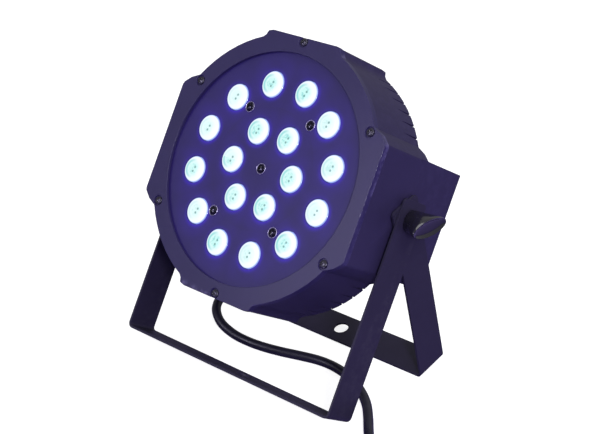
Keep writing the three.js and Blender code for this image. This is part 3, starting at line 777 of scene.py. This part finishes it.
def lens_places():
    """Where the lenses sit, in millimetres: the circle of twelve, then the circle of six."""
    sizes = bpy.context.scene.par_can_sizes
    outer = ring_places(sizes.outer_ring / MM, 12, 15)
    return outer + ring_places(sizes.inner_ring / MM, 6, 0)


# The lead


def smooth_route(points, steps):
    """Centripetal spline through the points, as every step of the route."""
    points = [Vector(p) for p in points]
    padded = [2 * points[0] - points[1], *points, 2 * points[-1] - points[-2]]
    path = []
    for i in range(1, len(padded) - 2):
        path += [spline_point(padded[i - 1:i + 3], s / steps) for s in range(steps)]
    return path + [points[-1]]


def spline_point(near, share):
    """A point between the second and third of four points, this share of the way along."""
    p0, p1, p2, p3 = near
    t0 = 0.0
    t1 = t0 + math.sqrt((p1 - p0).length)
    t2 = t1 + math.sqrt((p2 - p1).length)
    t3 = t2 + math.sqrt((p3 - p2).length)
    t = t1 + share * (t2 - t1)
    a1 = p0 * ((t1 - t) / (t1 - t0)) + p1 * ((t - t0) / (t1 - t0))
    a2 = p1 * ((t2 - t) / (t2 - t1)) + p2 * ((t - t1) / (t2 - t1))
    a3 = p2 * ((t3 - t) / (t3 - t2)) + p3 * ((t - t2) / (t3 - t2))
    b1 = a1 * ((t2 - t) / (t2 - t0)) + a2 * ((t - t0) / (t2 - t0))
    b2 = a2 * ((t3 - t) / (t3 - t1)) + a3 * ((t - t1) / (t3 - t1))
    return b1 * ((t2 - t) / (t2 - t1)) + b2 * ((t - t1) / (t2 - t1))


def coil_point(turns):
    """A point of the coil after so many turns, clockwise seen from above."""
    for (start, radius_a, height_a), (end, radius_b, height_b) in zip(COIL_LAY, COIL_LAY[1:]):
        if turns <= end:
            share = (turns - start) / (end - start)
            eased = share * share * (3 - 2 * share)
            radius = radius_a + (radius_b - radius_a) * eased
            height = height_a + (height_b - height_a) * eased
            break
    angle = COIL_ENTRY - 2 * math.pi * turns
    across, back = COIL_CENTRE
    return Vector((across + radius * math.cos(angle), back + radius * math.sin(angle), height))


def lead_path():
    """The middle line of the whole lead, from the gland to the plug."""
    last = COIL_LAY[-1][0]
    count = int(last * COIL_STEPS)
    coil = [coil_point(last * i / count) for i in range(1, count + 1)]
    return [FLOOR_UNDER_AXIS + p * MM for p in smooth_route(CORD_ROUTE, ROUTE_STEPS) + coil]


def tube(path, radius, sides=16):
    """A closed round tube along a path, made a mesh from a swept curve."""
    curve = bpy.data.curves.new("tube", "CURVE")
    curve.dimensions = "3D"
    curve.bevel_depth = radius
    curve.bevel_resolution = (sides - 4) // 2
    curve.use_fill_caps = True
    spline = curve.splines.new("POLY")
    spline.points.add(len(path) - 1)
    for point, place in zip(spline.points, path):
        point.co = (*place, 1)
    piece = bpy.data.objects.new("tube", curve)
    bpy.context.scene.collection.objects.link(piece)
    activate(piece)
    bpy.ops.object.convert(target="MESH")
    piece = bpy.context.object
    outward(piece)
    smooth(piece, 50)
    return piece


def strain_relief():
    """Gland nut with flats and a ribbed, tapered sleeve for the lead."""
    face = COVER_FACE
    nut = [(9.2, 0), (9.5, 0.4), (9.5, 4.2), (9.0, 4.8), (7.4, 5.4)]
    nut = turned([(radius, face + depth) for radius, depth in nut], 48)
    profile = [(6, face - 11), (6, face + 5), (7.1, face + 5.5), (7.1, face + 6.4)]
    ribs = 7
    for i in range(ribs):
        share = (i + 0.5) / ribs
        at = face + 7 + 16.4 * share
        radius = 7.0 - 1.9 * share
        groove = radius - 0.75
        profile += [(groove, at - 0.9), (radius, at - 0.5), (radius, at + 0.5), (groove, at + 0.9)]
    profile += [(4.75, face + 23.6), (4.4, face + 24)]
    sleeve = turned(profile, 40)
    flats = [box(0, face + 2.3, 9.3, 7, 5.2, 0.8)]
    for i in range(1, 6):
        flats.append(copied(flats[0], Matrix.Rotation(math.radians(60 * i), 4, "Y")))
    piece = joined(nut, sleeve, *flats)
    round_edges(piece, 0.00022, 2)
    piece.data.transform(head_place(*GLAND))
    return piece


def plug_place():
    """Turns the plug, built along +Y, to its place beside the coil."""
    spot = coil_point(COIL_LAY[-1][0]) * MM + FLOOR_UNDER_AXIS
    return Matrix.Translation(spot) @ Matrix.Rotation(PLUG_ANGLE + math.pi, 4, "Z")


def mains_plug():
    """Round two-pin plug with a ribbed grip and a tapered sleeve."""
    sleeve = [(4.4, -1), (5.1, 0)]
    for i in range(6):
        at = 3 + 4.4 * i
        radius = 5.2 + 0.30 * i
        sleeve += [(radius, at), (radius + 0.7, at + 0.5), (radius + 0.7, at + 2.2), (radius, at + 2.7)]
    body = [(7.4, 30), (10.6, 33.5), (12.4, 37), (14.2, 42), (15.2, 46), (15.5, 58), (16.2, 61)]
    flange = [(17.4, 63.4), (17.9, 64.6), (17.9, 70.6), (17.2, 71.8), (16.2, 72)]
    piece = turned(sleeve + body + flange, 56)
    grip = box(0, 50, 14.6, 1.3, 14, 2.2)
    grips = [grip]
    for i in range(1, 28):
        if i % 7 not in (0, 6):
            grips.append(copied(grip, Matrix.Rotation(math.radians(360 * i / 28), 4, "Y")))
    piece = joined(piece, *grips)
    round_edges(piece, 0.0003, 2)
    piece.data.transform(plug_place())
    return piece


def plug_pins():
    """The plug's two plated pins with their insulating sleeves."""
    pins = []
    for side in (-9.5, 9.5):
        sheath = turned([(2.4, 71), (2.4, 81), (2.36, 81.2)], 24)
        tip = turned([(2.3, 81.1), (2.3, 89.6), (1.9, 90.6), (1.0, 91)], 24)
        for part in (sheath, tip):
            part.data.transform(Matrix.Translation((side * MM, 0, 0)))
        sheath.data.materials.append(finish_of("plastic"))
        tip.data.materials.append(finish_of("pin"))
        pins += [sheath, tip]
    piece = joined(*pins)
    round_edges(piece, 0.00015, 1)
    piece.data.transform(plug_place())
    return piece


def coil_tie():
    """Narrow hook-and-loop strap round the coil, with its loose end lapped on top."""
    bpy.ops.object.select_all(action="DESELECT")
    bpy.ops.mesh.primitive_cylinder_add(
        vertices=48, radius=10.6 * MM, depth=12 * MM, end_fill_type="NOTHING"
    )
    piece = bpy.context.object
    piece.rotation_euler = (QUARTER, 0, 0)
    piece.scale = (1.0, 0.87, 1.0)
    apply_place(piece)
    modify(piece, "SOLIDIFY", thickness=0.8 * MM, offset=1)
    lap = box(3.0, 0, 9.9, 11, 12.6, 1.0)
    piece = joined(piece, lap)
    round_edges(piece, 0.0002, 2)
    out = Vector((math.cos(TIE_ANGLE), math.sin(TIE_ANGLE), 0)) * COIL_RADIUS
    spot = (Vector((*COIL_CENTRE, 9.2)) + out) * MM + FLOOR_UNDER_AXIS
    piece.data.transform(Matrix.Translation(spot) @ Matrix.Rotation(TIE_ANGLE, 4, "Z"))
    return piece


class PARCAN_OT_lead(bpy.types.Operator):
    """Lay the mains lead from its gland to its coil, with the strain relief, tie and plug"""

    bl_idname = "par_can.lead"
    bl_label = "Mains Lead"

    def execute(self, context):
        sizes = context.scene.par_can_sizes
        path = lead_path()
        relief = settle(strain_relief(), "strain_relief", "plastic", "cord_rubber", "head", "cable_gland")
        plug = settle(mains_plug(), "plug_body", "plastic", "cord_rubber", "front_stand", "mains_plug")
        pins = settle(plug_pins(), "plug_pins", "pin", "screw_steel", "front_stand")
        tie = settle(coil_tie(), "coil_tie", "sheath", "cord_rubber", "front_stand")
        lead = tube(path, sizes.cord_diameter / 2)
        lead.name = "mains_lead"
        lead.data.materials.append(finish_of("sheath"))
        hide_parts("power_cord", "cord_coil")
        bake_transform(lead)
        return {"FINISHED"}


class PARCAN_OT_face(bpy.types.Operator):
    """Make the bezel and the front panel with its lens windows"""

    bl_idname = "par_can.face"
    bl_label = "Bezel and Panel"

    def execute(self, context):
        sizes = context.scene.par_can_sizes
        finished_node("front_bezel", "bezel_ring", "bezel", "face_paint", "head", sizes.bezel_round, 4)
        edge = [(PANEL_RADIUS - 0.4, PANEL_NEAR), (PANEL_RADIUS, PANEL_NEAR + 0.3), (PANEL_RADIUS, PANEL_FAR)]
        panel = turned(edge, 160)
        holes = []
        for radius, sides, places in ((LENS_HOLE, 48, lens_places()), (SCREW_HOLE, 20, PANEL_SCREWS)):
            for x, z in places:
                hole = turned([(radius, 2), (radius, 8)], sides)
                hole.data.transform(Matrix.Translation((x * MM, 0, z * MM)))
                holes.append(hole)
        carve(panel, joined(*holes))
        round_edges(panel, 0.00025, 2)
        panel.data.transform(head_place(0, 0))
        settle(panel, "panel_disc", "panel", "face_paint", "head", "front_panel")
        return {"FINISHED"}


class PARCAN_OT_lenses(bpy.types.Operator):
    """Turn one lens with its stepped dome and collimator, and copy it to every window"""

    bl_idname = "par_can.lenses"
    bl_label = "Lenses"

    def execute(self, context):
        dome = [
            (0.4, 2.0), (2, 2.03), (4, 2.12), (5.6, 2.24), (6.0, 2.42), (6.2, 2.44), (7.6, 2.46), (9.0, 2.62),
        ]
        rim = [(10.0, 2.86), (10.6, 3.14), (10.95, 3.5), (11, 7), (4.5, BOARD_DEPTH - 1.8)]
        lens = turned(dome + rim, 48)
        smooth(lens, 38)
        for i, (x, z) in enumerate(lens_places(), 1):
            copy = copied(lens, head_place(x, z))
            settle(copy, f"lit_lens_{i:02d}", "lens", "lens_acrylic", "head", f"lens_{i:02d}")
        bpy.data.objects.remove(lens)
        return {"FINISHED"}


def screw(length_mm, washer=False):
    """Pan-head screw with a cross recess; its underside is at depth 0 and its shank runs back.

    With a washer it is a dark screw on a dark cup, which are painted shade of its recess, with a bright
    rolled rim that is a painted highlight of the recess's lit edge.
    """
    pan = [(0.5, -1.35), (1.6, -1.28), (2.6, -1.05), (3.2, -0.7), (3.4, -0.35), (3.4, 0)]
    shank = [(1.5, 0.02), (1.5, length_mm)]
    head = turned(pan + shank, 32)
    cross = box(0, -1.2, 0, 3.9, 1.5, 0.75)
    crossing = copied(cross, Matrix.Rotation(QUARTER, 4, "Y"))
    carve(head, cross)
    carve(head, crossing)
    round_edges(head, 0.00008, 1)
    # Painted shade: the dark screw and the dark cup under it stand for the shade in the screw's recess
    if washer:
        head.data.materials.append(finish_of("painted_shade_screw"))
        painted_shade_cup = turned([(4.4, 0.25), (4.4, 0.05), (3.9, 0.0)], 40)
        painted_shade_cup.data.materials.append(finish_of("painted_shade_screw"))
        # Painted highlight: the bright ring stands for the lit edge of the recess
        bpy.ops.object.select_all(action="DESELECT")
        bpy.ops.mesh.primitive_torus_add(
            major_radius=4.25 * MM, minor_radius=0.34 * MM, major_segments=40, minor_segments=8,
            rotation=(QUARTER, 0, 0),
        )
        ring = bpy.context.object
        apply_place(ring)
        bpy.ops.object.shade_smooth()
        ring.data.materials.append(finish_of("ring"))
        head = joined(head, painted_shade_cup, ring)
    return head


def fit_screws(kind, pattern, places, depth, turn, facing=Matrix.Identity(4)):
    """Copies a screw to each place on the head, every one stopped at its own turn."""
    for i, (x, z) in enumerate(places, 1):
        place = head_place(x, z) @ Matrix.Translation((0, depth * MM, 0)) @ facing
        copy = copied(pattern, place @ Matrix.Rotation(math.radians(turn * i), 4, "Y"))
        settle(copy, f"{kind}_fixing_{i:02d}", "screw", "screw_steel", "head", f"{kind}_screw_{i:02d}")
    bpy.data.objects.remove(pattern)


class PARCAN_OT_screws(bpy.types.Operator):
    """Make the cross-head screws of the bezel, panel and rear cover"""

    bl_idname = "par_can.screws"
    bl_label = "Screws"

    def execute(self, context):
        fit_screws("bezel", screw(17), ring_places(BEZEL_SCREW_CIRCLE, 6, 30), SCREW_SEAT_DEPTH, turn=23)
        # The panel screws carry painted shade on screw and cup, and a painted highlight on their ring
        fit_screws("panel", screw(17.5, washer=True), PANEL_SCREWS, LIP_DEPTH, turn=31)
        backwards = Matrix.Rotation(math.pi, 4, "X")
        fit_screws("cover", screw(8), COVER_SCREWS, COVER_FACE, turn=37, facing=backwards)
        return {"FINISHED"}


class PARCAN_OT_housing(bpy.types.Operator):
    """Round and finish the housing and its rear cover"""

    bl_idname = "par_can.housing"
    bl_label = "Housing"

    def execute(self, context):
        rounding = context.scene.par_can_sizes.moulding_round
        for node, name in (("housing_shell", "housing"), ("rear_cover", "rear_plate")):
            finished_node(node, name, "housing", "housing_paint", "head", rounding, 3)
        return {"FINISHED"}


class PARCAN_OT_brackets(bpy.types.Operator):
    """Round and finish the two bracket strips"""

    bl_idname = "par_can.brackets"
    bl_label = "Brackets"

    def execute(self, context):
        rounding = context.scene.par_can_sizes.strip_round
        for end in ("front", "rear"):
            finished_node(
                f"{end}_bracket", f"{end}_strip", "bracket", "bracket_paint", f"{end}_stand", rounding
            )
        return {"FINISHED"}


def wing_knob():
    """Moulded wing knob that flares from a round foot to a long dished face, and its stud, about X."""
    side = [
        (9.0, 9.0, 0), (9.5, 9.5, 0.5), (9.6, 10.2, 3.5), (9.4, 12.2, 7.0), (9.0, 15.2, 10.5),
        (8.4, 18.2, 14.0), (7.9, 20.1, 17.0), (7.6, 20.6, 18.6), (7.0, 20.4, 19.5),
    ]
    face = [(6.3, 19.7, 19.3), (5.6, 18.6, 18.6), (4.2, 14.5, 17.9), (1.5, 5.5, 17.6)]
    knob = lofted([(across, up, KNOB_INNER + depth) for across, up, depth in side + face])
    stud = turned([(3.6, 96.6), (4, 97.2), (4, KNOB_INNER + 1)], 32)
    for piece in (knob, stud):
        piece.data.transform(Matrix.Rotation(-QUARTER, 4, "Z"))
        smooth(piece, 50)
    return knob, stud


class PARCAN_OT_pivots(bpy.types.Operator):
    """Make the wing knobs, studs, friction washers and nuts of the tilt axis"""

    bl_idname = "par_can.pivots"
    bl_label = "Knobs and Washers"

    def execute(self, context):
        for side, turn in (("right", 0), ("left", math.pi)):
            place = HEAD @ Matrix.Rotation(turn, 4, "Z")
            knob, stud = wing_knob()
            knob.data.transform(place @ Matrix.Rotation(WING_ANGLE, 4, "X"))
            stud.data.transform(place)
            settle(knob, f"{side}_knob", "knob", "knob_plastic", f"knob_{side}", f"wing_knob_{side}")
            settle(stud, f"{side}_stud", "screw", "screw_steel", f"knob_{side}")
            finished_node(
                f"friction_washer_{side}", f"{side}_washer", "plastic", "black_plastic", "head", 0.0002
            )
            finished_node(f"pivot_nut_{side}", f"{side}_nut", "screw", "screw_steel", "head", 0.0004)
        return {"FINISHED"}


class PARCAN_OT_controls(bpy.types.Operator):
    """Finish the display, buttons and data sockets of the rear cover"""

    bl_idname = "par_can.controls"
    bl_label = "Controls and Sockets"

    def execute(self, context):
        finished_node("display_module", "display_window", "window", "display_glass", "head", 0.0004)
        for i in range(1, 5):
            finished_node(
                f"menu_button_{i}", f"push_button_{i}", "plastic", "black_plastic", f"button_{i}", 0.0004, 3
            )
        for name in ("input", "output"):
            finished_node(f"dmx_{name}_socket", f"data_{name}", "plastic", "black_plastic", "head", 0.0002)
        return {"FINISHED"}


class PARCAN_OT_inside(bpy.types.Operator):
    """Finish the boards and the heat sink inside the housing"""

    bl_idname = "par_can.inside"
    bl_label = "Boards and Heat Sink"

    def execute(self, context):
        boards = {
            "led_board": "lamp_board", "control_board": "menu_board", "power_supply_board": "supply_board",
        }
        for node, name in boards.items():
            finished_node(node, name, "board", "circuit_board", "head", 0.0001, 1)
        finished_node("heat_sink", "finned_sink", "aluminium", "sink_aluminium", "head", 0.0002, 1)
        return {"FINISHED"}


# Stage


def soft_light(name, place, size, power, tint):
    """A round area light turned to the middle of the lamp."""
    data = bpy.data.lights.new(name, "AREA")
    data.shape = "DISK"
    data.size = size
    data.energy = power
    data.color = tint
    light = bpy.data.objects.new(name, data)
    bpy.context.scene.collection.objects.link(light)
    light.location = place
    light.rotation_euler = (LIGHTS_AIM - Vector(place)).to_track_quat("-Z", "Y").to_euler()


def floor_material():
    """Near-white to the camera with a faint shadow, and a dim violet to everything that it lights."""
    material = bpy.data.materials.new("studio_floor")
    material.use_nodes = True
    tree = material.node_tree
    tree.nodes.clear()
    output = tree.nodes.new("ShaderNodeOutputMaterial")
    paper = tree.nodes.new("ShaderNodeBsdfDiffuse")
    paper.inputs["Color"].default_value = (0.55, 0.55, 0.56, 1)
    shine = tree.nodes.new("ShaderNodeEmission")
    shine.inputs["Strength"].default_value = 0.86
    seen = tree.nodes.new("ShaderNodeAddShader")
    tree.links.new(paper.outputs[0], seen.inputs[0])
    tree.links.new(shine.outputs[0], seen.inputs[1])
    bounced = tree.nodes.new("ShaderNodeBsdfDiffuse")
    bounced.inputs["Color"].default_value = (0.20, 0.155, 0.44, 1)
    path = tree.nodes.new("ShaderNodeLightPath")
    chosen = tree.nodes.new("ShaderNodeMixShader")
    tree.links.new(path.outputs["Is Camera Ray"], chosen.inputs[0])
    tree.links.new(bounced.outputs[0], chosen.inputs[1])
    tree.links.new(seen.outputs[0], chosen.inputs[2])
    tree.links.new(chosen.outputs[0], output.inputs["Surface"])
    return material


def white_world():
    """White to the camera, and a dim soft sky to everything that it lights."""
    world = bpy.data.worlds.new("studio")
    world.use_nodes = True
    tree = world.node_tree
    background = tree.nodes["Background"]
    path = tree.nodes.new("ShaderNodeLightPath")
    strength = math_node(tree, "MULTIPLY_ADD", path.outputs["Is Camera Ray"], 0.72, 0.28)
    tree.links.new(strength, background.inputs["Strength"])
    background.inputs["Color"].default_value = (1, 1, 1, 1)
    bpy.context.scene.world = world


class PARCAN_OT_stage(bpy.types.Operator):
    """Set up the camera, the pale floor and the soft lights"""

    bl_idname = "par_can.stage"
    bl_label = "Stage"

    def execute(self, context):
        stage = context.scene.par_can_stage
        data = bpy.data.cameras.new("camera")
        data.sensor_width = 36
        data.lens = stage.focal_length
        data.clip_end = 50
        camera = bpy.data.objects.new("camera", data)
        context.scene.collection.objects.link(camera)
        turn = Matrix.Rotation(stage.azimuth, 4, "Z")
        turn = turn @ Matrix.Rotation(QUARTER - stage.elevation, 4, "X")
        turn = turn @ Matrix.Rotation(stage.roll, 4, "Z")
        camera.matrix_world = Matrix.Translation(stage.camera_place) @ turn
        context.scene.camera = camera
        bpy.ops.object.select_all(action="DESELECT")
        bpy.ops.mesh.primitive_plane_add(size=FLOOR_SIZE, location=(0, 0, 0))
        floor = context.object
        floor.name = "studio_floor"
        floor.data.materials.append(floor_material())
        white_world()
        for light in LIGHTS:
            soft_light(*light)
        context.scene.view_settings.view_transform = "Standard"
        return {"FINISHED"}


class PARCAN_PT_panel(bpy.types.Panel):
    """Lists the steps that build the lamp"""

    bl_label = "Par Can Light"
    bl_idname = "PARCAN_PT_panel"
    bl_space_type = "VIEW_3D"
    bl_region_type = "UI"
    bl_category = "Par Can"

    def draw(self, context):
        for group in ("par_can_sizes", "par_can_colours", "par_can_stage"):
            settings = getattr(context.scene, group)
            for name in settings.__annotations__:
                self.layout.prop(settings, name)
        for step in STEPS:
            self.layout.operator(step.bl_idname)


STEPS = [
    PARCAN_OT_stage, PARCAN_OT_lead, PARCAN_OT_face, PARCAN_OT_lenses, PARCAN_OT_screws, PARCAN_OT_housing,
    PARCAN_OT_brackets, PARCAN_OT_pivots, PARCAN_OT_controls, PARCAN_OT_inside,
]
SETTINGS = {"par_can_sizes": ParCanSizes, "par_can_colours": ParCanColours, "par_can_stage": ParCanStage}


def register():
    for group in [*SETTINGS.values(), *STEPS, PARCAN_PT_panel]:
        bpy.utils.register_class(group)
    for name, group in SETTINGS.items():
        setattr(bpy.types.Scene, name, bpy.props.PointerProperty(type=group))


def unregister():
    for name in SETTINGS:
        delattr(bpy.types.Scene, name)
    for group in reversed([*SETTINGS.values(), *STEPS, PARCAN_PT_panel]):
        bpy.utils.unregister_class(group)


def main():
    register()
    for step in STEPS:
        area, name = step.bl_idname.split(".")
        getattr(getattr(bpy.ops, area), name)()


if __name__ == "__main__":
    main()
